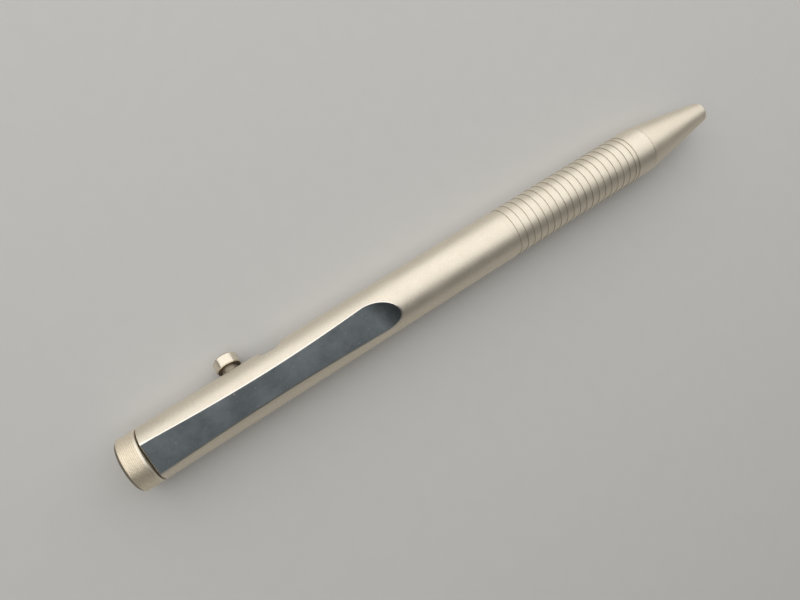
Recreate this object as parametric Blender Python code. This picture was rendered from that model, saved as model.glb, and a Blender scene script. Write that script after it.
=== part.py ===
"""A titanium bolt action pen that lies on its side and rests on its barrel and its bolt knob.

Stations run along the pen from the barrel's rear face, forward to the writing tip. In the pen's own
frame the bolt knob points along +Y. An empty on the pen's axis rolls that frame until the knob touches
the table, and sets it down with the world's origin under the middle of the pen.
"""
import math

import bmesh
import bpy
from mathutils import Matrix, Vector

MM = 0.001

# Clearances and tolerances
FIT_GAP = 0.3 * MM
OVERRUN = 2.0 * MM
MERGE_DISTANCE = 0.001 * MM

# Barrel
BARREL_RADIUS = 5.25 * MM
BARREL_LENGTH = 116.2 * MM
BARREL_EDGE_BREAK = 0.3 * MM
REAR_THREAD_STEP = 0.375 * MM
FRONT_THREAD_DEPTH = 5.6 * MM

# Crowned facet along the barrel
FACET_FROM_KNOB = math.radians(123)
FACET_END_DEPTH = 1.05 * MM
FACET_CROWN = 0.45 * MM
FACET_LENGTH = 45.9 * MM
FACET_RUNOUT_RADIUS = 11.4 * MM
FACET_LEAN_SHARE = 0.4
FACET_CROWN_STEPS = 12
FACET_RUNOUT_STEPS = 6

# Bolt slot, a J whose pocket is turned towards the facet
BOLT_REST_STATION = 18.6 * MM
BOLT_TRAVEL = 8.7 * MM
LOCK_SETBACK = 1.15 * MM
LOCK_TURN = math.radians(35)

# Grip grooves and the smooth ring in front of them
GROOVE_WIDTH = 1.1 * MM
GROOVE_DEPTH = 0.2 * MM
LAND_WIDTH = 0.63 * MM
GROOVE_COUNT = 19
LAST_GROOVE_WIDTH = 0.45 * MM
RING_LENGTH = 4.58 * MM

# Rear cap and its seal
CAP_LENGTH = 3.9 * MM
CAP_REAR_CHAMFER = 0.5 * MM
CAP_FRONT_CHAMFER = 0.25 * MM
CAP_PLUG_LENGTH = 5.6 * MM
O_RING_CORD_RADIUS = 0.375 * MM

# Nose cone
NOSE_LENGTH = 18.5 * MM
NOSE_STUB_WALL = 0.625 * MM
NOSE_TIP_RADIUS = 2.3 * MM
NOSE_TIP_ROUNDING = 0.35 * MM

# Bolt
CARRIER_REAR_LENGTH = 6.6 * MM
CARRIER_FRONT_LENGTH = 12.7 * MM
CARRIER_CHAMFER = 0.5 * MM
NECK_RADIUS = 1.5 * MM
STUD_RADIUS = 1.0 * MM
STUD_PAST_AXIS = 0.9 * MM
KNOB_RADIUS = 2.4 * MM
KNOB_STANDOFF = 0.95 * MM
KNOB_THICKNESS = 2.4 * MM
KNOB_TOP_CHAMFER = 0.4 * MM
KNOB_BASE_CHAMFER = 0.15 * MM

# Refill
REFILL_RADIUS = 2.975 * MM
REFILL_WALL = 0.575 * MM
PLUG_HEAD_RADIUS = 2.6 * MM
PLUG_HEAD_LENGTH = 1.1 * MM
PLUG_STEM_LENGTH = 3.0 * MM
AIR_SPACE_LENGTH = 8.0 * MM
GREASE_LENGTH = 3.0 * MM
NOZZLE_STEM_LENGTH = 5.8 * MM
NOZZLE_FLANGE_LENGTH = 0.8 * MM
NOZZLE_RADIUS = 1.6 * MM
NOZZLE_LENGTH = 6.6 * MM
NOZZLE_BORE_RADIUS = 0.5 * MM
POINT_RADIUS = 1.2 * MM
POINT_STEM_RADIUS = 0.8 * MM
POINT_STEM_LENGTH = 3.0 * MM
POINT_BORE_RADIUS = 0.35 * MM
POINT_STRAIGHT_LENGTH = 8.0 * MM
POINT_TAPER_LENGTH = 2.75 * MM
POINT_LIP_RADIUS = 0.75 * MM
BALL_RADIUS = 0.5 * MM
BALL_CLEARANCE = 0.15 * MM
BALL_SHOWING = 0.25 * MM
LIP_CLEARANCE = 0.1 * MM
BALL_SETBACK = 5.2 * MM

# Return spring
WIRE_RADIUS = 0.22 * MM
SPRING_TURNS = 11
POINTS_PER_TURN = 10

# Facets of the round pieces, and the angle from which an edge is crisp
BARREL_SIDES = 40
SMALL_SIDES = 32
REFILL_SIDES = 24
WIRE_RESOLUTION = 1
ARC_STEPS = 6
BALL_SUBDIVISIONS = 2
CRISP_ANGLE = math.radians(25)

# Radii that follow from what fits in them
BORE_RADIUS = REFILL_RADIUS + FIT_GAP
CARRIER_RADIUS = BORE_RADIUS - FIT_GAP
REFILL_BORE_RADIUS = REFILL_RADIUS - REFILL_WALL
FILLING_RADIUS = REFILL_BORE_RADIUS - FIT_GAP
REAR_THREAD_RADIUS = BORE_RADIUS + REAR_THREAD_STEP
CAP_NECK_RADIUS = REAR_THREAD_RADIUS - 2 * (O_RING_CORD_RADIUS + FIT_GAP)
STUB_RADIUS = BORE_RADIUS + NOSE_STUB_WALL
FRONT_THREAD_RADIUS = STUB_RADIUS + FIT_GAP
COIL_RADIUS = NOZZLE_RADIUS + FIT_GAP + WIRE_RADIUS
SPRING_CHAMBER_RADIUS = COIL_RADIUS + WIRE_RADIUS + FIT_GAP
NOSE_TIP_BORE_RADIUS = POINT_RADIUS + FIT_GAP
SLOT_WIDTH = 2 * (NECK_RADIUS + FIT_GAP)
KNOB_BASE = BARREL_RADIUS + KNOB_STANDOFF
KNOB_TOP = KNOB_BASE + KNOB_THICKNESS
FACET_END_HEIGHT = BARREL_RADIUS - FACET_END_DEPTH

# Stations along the pen. The refill's front pieces are set back from the nose's end, its rear plug
# meets the bolt's carrier, and the tube is as long as the distance between them.
CAP_FRONT = -FIT_GAP
CAP_REAR = CAP_FRONT - CAP_LENGTH
PLUG_FRONT = CAP_FRONT + CAP_PLUG_LENGTH
REAR_THREAD_DEPTH = PLUG_FRONT + FIT_GAP
CAP_GLAND_WIDTH = 2 * (O_RING_CORD_RADIUS + FIT_GAP)
BOLT_FRONT_STATION = BOLT_REST_STATION + BOLT_TRAVEL
LOCK_STATION = BOLT_FRONT_STATION - LOCK_SETBACK
GRIP_LENGTH = GROOVE_COUNT * (GROOVE_WIDTH + LAND_WIDTH) + LAST_GROOVE_WIDTH
GRIP_START = BARREL_LENGTH - RING_LENGTH - GRIP_LENGTH
NOSE_BASE = BARREL_LENGTH + FIT_GAP
NOSE_END = NOSE_BASE + NOSE_LENGTH
POINT_LIP = NOSE_END - BALL_SETBACK - BALL_SHOWING
BALL_STATION = POINT_LIP + BALL_SHOWING - BALL_RADIUS
POINT_SHOULDER = POINT_LIP - POINT_TAPER_LENGTH - POINT_STRAIGHT_LENGTH
NOZZLE_FRONT = POINT_SHOULDER - FIT_GAP
FLANGE_FRONT = NOZZLE_FRONT - NOZZLE_LENGTH
FLANGE_REAR = FLANGE_FRONT - NOZZLE_FLANGE_LENGTH
TUBE_FRONT = FLANGE_REAR - FIT_GAP
CARRIER_FRONT = BOLT_REST_STATION + CARRIER_FRONT_LENGTH
PLUG_HEAD_REAR = CARRIER_FRONT + FIT_GAP
TUBE_REAR = PLUG_HEAD_REAR + PLUG_HEAD_LENGTH + FIT_GAP
SPRING_SEAT = NOZZLE_FRONT + BOLT_TRAVEL + 2 * FIT_GAP
SPRING_CHAMBER_REAR = FLANGE_FRONT + BOLT_TRAVEL + 2 * FIT_GAP


def knob_rim_corners():
    """The knob's two outer edges, as height from the pen's axis and radius about the knob's own axis."""
    return [
        (KNOB_TOP - KNOB_TOP_CHAMFER, KNOB_RADIUS),
        (KNOB_TOP, KNOB_RADIUS - KNOB_TOP_CHAMFER),
    ]


def resting_droop():
    """How far the knob points below level when its rim and the barrel both touch the table."""
    return min(
        math.asin(BARREL_RADIUS / math.hypot(height, radius)) - math.atan2(radius, height)
        for height, radius in knob_rim_corners()
    )


DROOP = resting_droop()


def clear_scene():
    for old in list(bpy.data.objects):
        bpy.data.objects.remove(old, do_unlink=True)


def make_material(name, colour, roughness, metallic):
    material = bpy.data.materials.new(name)
    material.use_nodes = True
    shader = material.node_tree.nodes["Principled BSDF"]
    shader.inputs["Base Color"].default_value = (*colour, 1.0)
    shader.inputs["Roughness"].default_value = roughness
    shader.inputs["Metallic"].default_value = metallic
    return material


def add_to_pen(obj, frame, material):
    """Gives an object its material and hangs it on the pen's frame."""
    bpy.context.scene.collection.objects.link(obj)
    obj.parent = frame
    obj.data.materials.append(material)
    return obj


def finished_mesh(name, bm):
    """Turns a bmesh into a smooth mesh whose faces point out and whose crisp edges stay crisp."""
    bmesh.ops.recalc_face_normals(bm, faces=bm.faces)
    mesh = bpy.data.meshes.new(name)
    bm.to_mesh(mesh)
    bm.free()
    mesh.shade_smooth()
    mesh.set_sharp_from_angle(angle=CRISP_ANGLE)
    return mesh


def turned(name, outline, sides, closed, start_angle=0.0):
    """Spins an outline of (station, radius) points about X.

    A closed outline goes round a bore. An open one starts and ends on the axis.
    """
    bm = bmesh.new()
    spin_start = Matrix.Rotation(start_angle, 4, "X")
    verts = [bm.verts.new(spin_start @ Vector((x, r, 0))) for x, r in outline]
    edges = [bm.edges.new(pair) for pair in zip(verts, verts[1:])]
    if closed:
        edges.append(bm.edges.new((verts[-1], verts[0])))
    bmesh.ops.spin(
        bm, geom=verts + edges, axis=(1, 0, 0), cent=(0, 0, 0),
        angle=math.tau, steps=sides, use_merge=True,
    )
    bmesh.ops.remove_doubles(bm, verts=bm.verts, dist=MERGE_DISTANCE)
    return bpy.data.objects.new(name, finished_mesh(name, bm))


def make_cutter(name, bm, frame):
    """An object that only cuts others."""
    cutter = bpy.data.objects.new(name, finished_mesh(name, bm))
    bpy.context.scene.collection.objects.link(cutter)
    cutter.parent = frame
    cutter.hide_render = True
    cutter.display_type = "WIRE"
    return cutter


def lofted_cutter(name, rings, frame):
    """A cutter lofted through rings of matching points, with both end rings capped."""
    bm = bmesh.new()
    loops = [[bm.verts.new(point) for point in ring] for ring in rings]
    bm.faces.new(loops[0])
    bm.faces.new(loops[-1])
    for near, far in zip(loops, loops[1:]):
        for i in range(len(near)):
            bm.faces.new((near[i - 1], near[i], far[i], far[i - 1]))
    bmesh.ops.triangulate(bm, faces=bm.faces)
    return make_cutter(name, bm, frame)


def cut(obj, cutter):
    boolean = obj.modifiers.new(cutter.name, "BOOLEAN")
    boolean.operation = "DIFFERENCE"
    boolean.solver = "EXACT"
    boolean.object = cutter


def arc(centre_x, centre_y, radius, start, end, steps):
    """Points on an arc from one angle to another, both ends included."""
    angles = [start + (end - start) * i / steps for i in range(steps + 1)]
    return [(centre_x + radius * math.cos(a), centre_y + radius * math.sin(a)) for a in angles]


def grip_outline():
    """The grooved part of the barrel's outside, from rear to front."""
    floor = BARREL_RADIUS - GROOVE_DEPTH
    widths = [GROOVE_WIDTH] * GROOVE_COUNT + [LAST_GROOVE_WIDTH]
    points = []
    station = GRIP_START
    for width in widths:
        points += [(station, BARREL_RADIUS), (station, floor)]
        station += width
        points += [(station, floor), (station, BARREL_RADIUS)]
        station += LAND_WIDTH
    return points


def barrel_outline():
    """The barrel's section, out along the outside and back along the bore."""
    outside = [
        (0.0, BARREL_RADIUS - BARREL_EDGE_BREAK),
        (BARREL_EDGE_BREAK, BARREL_RADIUS),
        *grip_outline(),
        (BARREL_LENGTH, BARREL_RADIUS),
    ]
    bore = [
        (BARREL_LENGTH, FRONT_THREAD_RADIUS),
        (BARREL_LENGTH - FRONT_THREAD_DEPTH, FRONT_THREAD_RADIUS),
        (BARREL_LENGTH - FRONT_THREAD_DEPTH, BORE_RADIUS),
        (REAR_THREAD_DEPTH, BORE_RADIUS),
        (REAR_THREAD_DEPTH, REAR_THREAD_RADIUS),
        (0.0, REAR_THREAD_RADIUS),
    ]
    return outside + bore


def facet_floor():
    """The facet's lengthwise profile as (station, height over the axis): a low crown, then a run-out."""
    half_length = FACET_LENGTH / 2
    points = []
    for i in range(FACET_CROWN_STEPS + 1):
        share = 2 * i / FACET_CROWN_STEPS - 1
        rise = FACET_CROWN * (1 - share * share)
        points.append((half_length + half_length * share, FACET_END_HEIGHT + rise))
    leave = BARREL_RADIUS + OVERRUN / 2 - FACET_END_HEIGHT
    sweep = math.acos(1 - leave / FACET_RUNOUT_RADIUS)
    centre_height = FACET_END_HEIGHT + FACET_RUNOUT_RADIUS
    runout = arc(FACET_LENGTH, centre_height, FACET_RUNOUT_RADIUS, -math.pi / 2,
                 sweep - math.pi / 2, FACET_RUNOUT_STEPS)
    return points + runout[1:]


def facet_cutter(frame):
    """A bar with the facet's profile underneath. Its front end leans, so the run-out is oblique."""
    floor = facet_floor()
    roof = BARREL_RADIUS + OVERRUN
    section = [(-OVERRUN, floor[0][1]), *floor, (floor[-1][0], roof), (-OVERRUN, roof)]
    rings = []
    for across in (-roof, roof):
        lean = FACET_LEAN_SHARE * across
        rings.append(
            [(x - lean if x > FACET_LENGTH / 2 else x, across, height) for x, height in section]
        )
    cutter = lofted_cutter("facet_cutter", rings, frame)
    cutter.rotation_euler = (FACET_FROM_KNOB - math.pi / 2, 0, 0)
    return cutter


def channel_cutter(frame):
    """The slot's straight run, from the bolt's rest to the front."""
    half = SLOT_WIDTH / 2
    outline = [
        *arc(BOLT_REST_STATION, 0.0, half, math.pi / 2, 3 * math.pi / 2, 2 * ARC_STEPS),
        *arc(BOLT_FRONT_STATION, 0.0, half, -math.pi / 2, math.pi / 2, 2 * ARC_STEPS),
    ]
    rings = [[(x, height, z) for x, z in outline] for height in (0.0, 2 * BARREL_RADIUS)]
    return lofted_cutter("channel_cutter", rings, frame)


def turn_cutter(frame):
    """The sector that the bolt's neck sweeps as it turns aside at the front of the slot."""
    rear = LOCK_STATION - SLOT_WIDTH / 2
    rings = []
    for i in range(ARC_STEPS + 1):
        share = i / ARC_STEPS
        angle = LOCK_TURN * share
        neck = BOLT_FRONT_STATION - LOCK_SETBACK * share
        front = neck + SLOT_WIDTH / 2
        inside, outside = BORE_RADIUS / 2, 2 * BARREL_RADIUS
        corners = ((rear, inside), (rear, outside), (front, outside), (front, inside))
        rings.append([(x, r * math.cos(angle), r * math.sin(angle)) for x, r in corners])
    return lofted_cutter("turn_cutter", rings, frame)


def lock_cutter(frame):
    """The pocket that holds the neck once the bolt is turned aside."""
    outline = arc(LOCK_STATION, 0.0, SLOT_WIDTH / 2, 0.0, math.tau, 4 * ARC_STEPS)[:-1]
    rings = [[(x, height, z) for x, z in outline] for height in (0.0, 2 * BARREL_RADIUS)]
    cutter = lofted_cutter("lock_cutter", rings, frame)
    cutter.rotation_euler = (LOCK_TURN, 0, 0)
    return cutter


def build_barrel(frame):
    titanium = make_material("barrel_titanium", (0.60, 0.56, 0.50), 0.36, 1.0)
    barrel = turned("barrel", barrel_outline(), BARREL_SIDES, True, DROOP)
    add_to_pen(barrel, frame, titanium)
    cut(barrel, facet_cutter(frame))
    cut(barrel, channel_cutter(frame))
    cut(barrel, turn_cutter(frame))
    cut(barrel, lock_cutter(frame))


def build_rear_cap(frame):
    """The cap with its turned neck for the O ring and the plug that screws into the barrel."""
    titanium = make_material("cap_titanium", (0.58, 0.54, 0.48), 0.42, 1.0)
    plug_radius = REAR_THREAD_RADIUS - FIT_GAP
    plug_rear = CAP_FRONT + CAP_GLAND_WIDTH
    outline = [
        (CAP_REAR, 0.0),
        (CAP_REAR, BARREL_RADIUS - CAP_REAR_CHAMFER),
        (CAP_REAR + CAP_REAR_CHAMFER, BARREL_RADIUS),
        (CAP_FRONT - CAP_FRONT_CHAMFER, BARREL_RADIUS),
        (CAP_FRONT, BARREL_RADIUS - CAP_FRONT_CHAMFER),
        (CAP_FRONT, CAP_NECK_RADIUS),
        (plug_rear, CAP_NECK_RADIUS),
        (plug_rear, plug_radius),
        (PLUG_FRONT - CAP_FRONT_CHAMFER, plug_radius),
        (PLUG_FRONT, plug_radius - CAP_FRONT_CHAMFER),
        (PLUG_FRONT, 0.0),
    ]
    add_to_pen(turned("rear_cap", outline, BARREL_SIDES, False, DROOP), frame, titanium)


def build_rear_cap_o_ring(frame):
    rubber = make_material("o_ring_rubber", (0.02, 0.02, 0.02), 0.6, 0.0)
    mean_radius = (CAP_NECK_RADIUS + REAR_THREAD_RADIUS) / 2
    centre = CAP_FRONT + CAP_GLAND_WIDTH / 2
    outline = arc(centre, mean_radius, O_RING_CORD_RADIUS, 0.0, math.tau, 2 * ARC_STEPS)[:-1]
    add_to_pen(turned("rear_cap_o_ring", outline, SMALL_SIDES, True), frame, rubber)


def build_nose_cone(frame):
    """The cone, its threaded stub inside the barrel, the spring's chamber and the tip's bore."""
    titanium = make_material("nose_titanium", (0.62, 0.58, 0.52), 0.34, 1.0)
    stub_rear = BARREL_LENGTH - FRONT_THREAD_DEPTH + FIT_GAP
    outline = [
        (stub_rear, BORE_RADIUS),
        (stub_rear, STUB_RADIUS),
        (NOSE_BASE, STUB_RADIUS),
        (NOSE_BASE, BARREL_RADIUS),
        (NOSE_END - NOSE_TIP_ROUNDING, NOSE_TIP_RADIUS),
        (NOSE_END, NOSE_TIP_RADIUS - NOSE_TIP_ROUNDING),
        (NOSE_END, NOSE_TIP_BORE_RADIUS),
        (SPRING_SEAT, NOSE_TIP_BORE_RADIUS),
        (SPRING_SEAT, SPRING_CHAMBER_RADIUS),
        (SPRING_CHAMBER_REAR, SPRING_CHAMBER_RADIUS),
        (SPRING_CHAMBER_REAR, BORE_RADIUS),
    ]
    add_to_pen(turned("nose_cone", outline, BARREL_SIDES, True, DROOP), frame, titanium)


def build_bolt_carrier(frame):
    """The plunger in the bore, cross drilled for the knob's stud."""
    steel = make_material("carrier_steel", (0.55, 0.55, 0.56), 0.3, 1.0)
    rear = BOLT_REST_STATION - CARRIER_REAR_LENGTH
    bevel_radius = CARRIER_RADIUS - CARRIER_CHAMFER
    outline = [
        (rear, 0.0),
        (rear, bevel_radius),
        (rear + CARRIER_CHAMFER, CARRIER_RADIUS),
        (CARRIER_FRONT - CARRIER_CHAMFER, CARRIER_RADIUS),
        (CARRIER_FRONT, bevel_radius),
        (CARRIER_FRONT, 0.0),
    ]
    carrier = add_to_pen(turned("bolt_carrier", outline, SMALL_SIDES, False), frame, steel)
    drill_length = STUD_PAST_AXIS + FIT_GAP + CARRIER_RADIUS + OVERRUN
    bm = bmesh.new()
    bmesh.ops.create_cone(
        bm, cap_ends=True, segments=REFILL_SIDES,
        radius1=STUD_RADIUS + FIT_GAP, radius2=STUD_RADIUS + FIT_GAP, depth=drill_length,
    )
    drill = make_cutter("stud_drill", bm, frame)
    drill_middle = drill_length / 2 - STUD_PAST_AXIS - FIT_GAP
    drill.location = (BOLT_REST_STATION, drill_middle, 0)
    drill.rotation_euler = (math.pi / 2, 0, 0)
    cut(carrier, drill)


def build_bolt_knob(frame):
    """The knob's head, its neck through the slot and the stud that screws into the carrier."""
    titanium = make_material("knob_titanium", (0.60, 0.57, 0.52), 0.3, 1.0)
    neck_start = CARRIER_RADIUS + FIT_GAP
    outline = [
        (-STUD_PAST_AXIS, 0.0),
        (-STUD_PAST_AXIS, STUD_RADIUS),
        (neck_start, STUD_RADIUS),
        (neck_start, NECK_RADIUS),
        (KNOB_BASE, NECK_RADIUS),
        (KNOB_BASE, KNOB_RADIUS - KNOB_BASE_CHAMFER),
        (KNOB_BASE + KNOB_BASE_CHAMFER, KNOB_RADIUS),
        *knob_rim_corners(),
        (KNOB_TOP, 0.0),
    ]
    knob = add_to_pen(turned("bolt_knob", outline, SMALL_SIDES, False), frame, titanium)
    knob.location = (BOLT_REST_STATION, 0, 0)
    knob.rotation_euler = (math.pi / 2, 0, math.pi / 2)


def build_refill_tube(frame):
    metal = make_material("refill_metal", (0.70, 0.70, 0.70), 0.25, 1.0)
    outline = [
        (TUBE_REAR, REFILL_BORE_RADIUS),
        (TUBE_REAR, REFILL_RADIUS),
        (TUBE_FRONT, REFILL_RADIUS),
        (TUBE_FRONT, REFILL_BORE_RADIUS),
    ]
    add_to_pen(turned("refill_tube", outline, REFILL_SIDES, True), frame, metal)


def build_refill_filling(frame):
    """What closes and fills the tube: the end plug, the grease behind the ink, and the ink."""
    plastic = make_material("plug_plastic", (0.06, 0.06, 0.07), 0.4, 0.0)
    grease = make_material("grease", (0.75, 0.70, 0.50), 0.2, 0.0)
    ink = make_material("ink", (0.01, 0.01, 0.03), 0.1, 0.0)
    head_front = PLUG_HEAD_REAR + PLUG_HEAD_LENGTH
    plug_front = TUBE_REAR + PLUG_STEM_LENGTH
    plug = [
        (PLUG_HEAD_REAR, 0.0),
        (PLUG_HEAD_REAR, PLUG_HEAD_RADIUS),
        (head_front, PLUG_HEAD_RADIUS),
        (head_front, FILLING_RADIUS),
        (plug_front, FILLING_RADIUS),
        (plug_front, 0.0),
    ]
    add_to_pen(turned("refill_end_plug", plug, REFILL_SIDES, False), frame, plastic)
    grease_rear = plug_front + AIR_SPACE_LENGTH
    grease_front = grease_rear + GREASE_LENGTH
    ink_rear = grease_front + FIT_GAP
    ink_front = TUBE_FRONT - NOZZLE_STEM_LENGTH - FIT_GAP
    for name, rear, front, material in (
        ("refill_grease", grease_rear, grease_front, grease),
        ("refill_ink", ink_rear, ink_front, ink),
    ):
        column = [(rear, 0.0), (rear, FILLING_RADIUS), (front, FILLING_RADIUS), (front, 0.0)]
        add_to_pen(turned(name, column, REFILL_SIDES, False), frame, material)


def build_refill_nozzle(frame):
    """The stepped front piece: a stem in the tube, the spring's flange and a slim sleeve."""
    brass = make_material("nozzle_brass", (0.75, 0.58, 0.28), 0.3, 1.0)
    stem_rear = TUBE_FRONT - NOZZLE_STEM_LENGTH
    socket_rear = NOZZLE_FRONT - POINT_STEM_LENGTH - FIT_GAP
    socket_radius = POINT_STEM_RADIUS + FIT_GAP
    outline = [
        (stem_rear, NOZZLE_BORE_RADIUS),
        (stem_rear, FILLING_RADIUS),
        (FLANGE_REAR, FILLING_RADIUS),
        (FLANGE_REAR, REFILL_RADIUS),
        (FLANGE_FRONT, REFILL_RADIUS),
        (FLANGE_FRONT, NOZZLE_RADIUS),
        (NOZZLE_FRONT, NOZZLE_RADIUS),
        (NOZZLE_FRONT, socket_radius),
        (socket_rear, socket_radius),
        (socket_rear, NOZZLE_BORE_RADIUS),
    ]
    add_to_pen(turned("refill_nozzle", outline, REFILL_SIDES, True), frame, brass)


def build_refill_point(frame):
    """The slim point with the socket that holds the ball."""
    steel = make_material("point_steel", (0.62, 0.62, 0.63), 0.25, 1.0)
    stem_rear = NOZZLE_FRONT - POINT_STEM_LENGTH
    taper_rear = POINT_SHOULDER + POINT_STRAIGHT_LENGTH
    socket_radius = BALL_RADIUS + BALL_CLEARANCE
    socket_rear = BALL_STATION - socket_radius
    lip_ahead = POINT_LIP - BALL_STATION
    lip_bore = math.sqrt((BALL_RADIUS + LIP_CLEARANCE) ** 2 - lip_ahead**2)
    outline = [
        (stem_rear, POINT_BORE_RADIUS),
        (stem_rear, POINT_STEM_RADIUS),
        (POINT_SHOULDER, POINT_STEM_RADIUS),
        (POINT_SHOULDER, POINT_RADIUS),
        (taper_rear, POINT_RADIUS),
        (POINT_LIP, POINT_LIP_RADIUS),
        (POINT_LIP, lip_bore),
        (BALL_STATION, socket_radius),
        (socket_rear, socket_radius),
        (socket_rear, POINT_BORE_RADIUS),
    ]
    add_to_pen(turned("refill_point", outline, REFILL_SIDES, True), frame, steel)


def build_refill_ball(frame):
    carbide = make_material("ball_carbide", (0.35, 0.35, 0.37), 0.12, 1.0)
    bm = bmesh.new()
    bmesh.ops.create_icosphere(bm, subdivisions=BALL_SUBDIVISIONS, radius=BALL_RADIUS)
    ball = bpy.data.objects.new("refill_ball", finished_mesh("refill_ball", bm))
    add_to_pen(ball, frame, carbide)
    ball.location = (BALL_STATION, 0, 0)


def spring_points():
    """The wire's centre line, a plain helix between the nozzle's flange and the spring's seat."""
    start = FLANGE_FRONT + FIT_GAP + WIRE_RADIUS
    length = SPRING_SEAT - FIT_GAP - WIRE_RADIUS - start
    steps = SPRING_TURNS * POINTS_PER_TURN
    points = []
    for i in range(steps + 1):
        angle = math.tau * i / POINTS_PER_TURN
        x = start + length * i / steps
        points.append(Vector((x, COIL_RADIUS * math.cos(angle), COIL_RADIUS * math.sin(angle))))
    return points


def least_gap(points):
    """The wire's least distance to itself, between points at least half a turn apart."""
    apart = POINTS_PER_TURN // 2
    nearest = min(
        (points[i] - points[j]).length
        for i in range(len(points))
        for j in range(i + apart, len(points))
    )
    return nearest - 2 * WIRE_RADIUS


def build_return_spring(frame):
    steel = make_material("spring_steel", (0.60, 0.60, 0.60), 0.25, 1.0)
    points = spring_points()
    curve = bpy.data.curves.new("return_spring", "CURVE")
    curve.dimensions = "3D"
    curve.bevel_depth = WIRE_RADIUS
    curve.bevel_resolution = WIRE_RESOLUTION
    curve.use_fill_caps = True
    spline = curve.splines.new("POLY")
    spline.points.add(len(points) - 1)
    for spline_point, point in zip(spline.points, points):
        spline_point.co = (*point, 1.0)
    add_to_pen(bpy.data.objects.new("return_spring", curve), frame, steel)
    print("return_spring least gap to itself, mm:", round(least_gap(points) / MM, 3))


def pen_frame():
    """The empty on the pen's axis. Its roll rests the knob on the table, level with the barrel."""
    frame = bpy.data.objects.new("pen_axis", None)
    bpy.context.scene.collection.objects.link(frame)
    reach = max(
        height * math.cos(DROOP) + radius * math.sin(DROOP)
        for height, radius in knob_rim_corners()
    )
    middle = (CAP_REAR + NOSE_END) / 2
    frame.location = (-middle, (BARREL_RADIUS - reach) / 2, BARREL_RADIUS)
    frame.rotation_euler = (-DROOP, 0, 0)
    return frame


def build_pen():
    clear_scene()
    frame = pen_frame()
    build_barrel(frame)
    build_rear_cap(frame)
    build_rear_cap_o_ring(frame)
    build_nose_cone(frame)
    build_bolt_carrier(frame)
    build_bolt_knob(frame)
    build_refill_tube(frame)
    build_refill_filling(frame)
    build_refill_nozzle(frame)
    build_refill_point(frame)
    build_refill_ball(frame)
    build_return_spring(frame)


build_pen()
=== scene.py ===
"""A bolt action ballpoint pen in bead blasted titanium, lying on a pale table."""

import math

import bmesh
import bpy
from mathutils import Matrix, Vector


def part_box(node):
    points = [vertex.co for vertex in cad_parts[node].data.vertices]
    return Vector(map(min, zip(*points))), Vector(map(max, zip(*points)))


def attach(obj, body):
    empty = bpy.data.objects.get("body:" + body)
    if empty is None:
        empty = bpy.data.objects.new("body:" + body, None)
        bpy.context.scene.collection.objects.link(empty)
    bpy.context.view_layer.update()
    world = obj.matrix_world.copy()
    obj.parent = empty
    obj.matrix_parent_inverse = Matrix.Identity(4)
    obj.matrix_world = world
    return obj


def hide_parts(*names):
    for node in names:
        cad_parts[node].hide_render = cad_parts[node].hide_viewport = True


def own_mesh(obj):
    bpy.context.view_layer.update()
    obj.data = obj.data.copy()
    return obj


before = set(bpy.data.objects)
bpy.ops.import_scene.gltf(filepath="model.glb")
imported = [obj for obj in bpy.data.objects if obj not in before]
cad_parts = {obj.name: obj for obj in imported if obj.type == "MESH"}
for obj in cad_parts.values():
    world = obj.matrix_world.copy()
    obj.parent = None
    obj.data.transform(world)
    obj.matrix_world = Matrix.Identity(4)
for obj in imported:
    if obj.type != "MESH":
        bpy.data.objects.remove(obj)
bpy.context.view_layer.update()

# Barrel: one tube of titanium, turned and bored on a lathe, milled for the crowned facet and for the
# bolt's slot, and blasted with glass beads. Both ends are threaded inside, for the rear cap and the
# nose cone.
MM = 0.001
barrel_low, barrel_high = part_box("barrel")
BARREL_LENGTH = barrel_high[0] - barrel_low[0]
RADIUS = (barrel_high[2] - barrel_low[2]) / 2
BORE_RADIUS = 3.275 * MM
REAR_THREAD_RADIUS = 3.65 * MM
FRONT_THREAD_RADIUS = 4.2 * MM
THREAD_DEPTH = 5.6 * MM
THREAD_PITCH = 0.75 * MM
THREAD_RELIEF = 0.12 * MM
THREAD_STEP = 0.12 * MM
EDGE_BREAK = 0.1 * MM
ROUND_COLUMNS = 116
FACET_COLUMNS = 22
BARREL_CRISP = math.radians(9)
MERGE_DISTANCE = 0.0005 * MM

# The pen has rolled until the knob's rim met the table. In the pen's own frame X runs from the barrel's
# rear face along its axis to the tip, Y points at the knob and Z is square to both.
KNOB_RIM_HEIGHT = 8.2 * MM
KNOB_RADIUS = 2.4 * MM
rim_reach = math.hypot(KNOB_RIM_HEIGHT, KNOB_RADIUS)
DROOP = math.asin(RADIUS / rim_reach) - math.atan2(KNOB_RADIUS, KNOB_RIM_HEIGHT)
AXIS_Y = (barrel_low[1] + barrel_high[1]) / 2
AXIS_Z = (barrel_low[2] + barrel_high[2]) / 2
PEN = Matrix.Translation((barrel_low[0], AXIS_Y, AXIS_Z)) @ Matrix.Rotation(-DROOP, 4, "X")


def station_of(x):
    """A world X, such as a corner of a node's box, as a station along the pen."""
    return x - barrel_low[0]


def off_axis(point):
    """How far a world point lies from the pen's axis."""
    return math.hypot(point.y - AXIS_Y, point.z - AXIS_Z)


# The facet is a low crown along the pen that runs out of the metal in an arc, which leans across it.
# Its edges are looked for on both sides of its normal, first in steps of half a degree.
FACET_FROM_KNOB = math.radians(123)
FACET_LENGTH = 45.9 * MM
FACET_END_HEIGHT = 4.2 * MM
FACET_CROWN = 0.45 * MM
FACET_LEAN = 0.4
FACET_RUNOUT_RADIUS = 11.4 * MM
FACET_TIP = 51.5 * MM
FACET_REACH_DEGREES = 60
FACET_ANGLES = [math.radians(i / 2) for i in range(-2 * FACET_REACH_DEGREES, 2 * FACET_REACH_DEGREES + 1)]
EDGE_HALVINGS = 40

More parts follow.
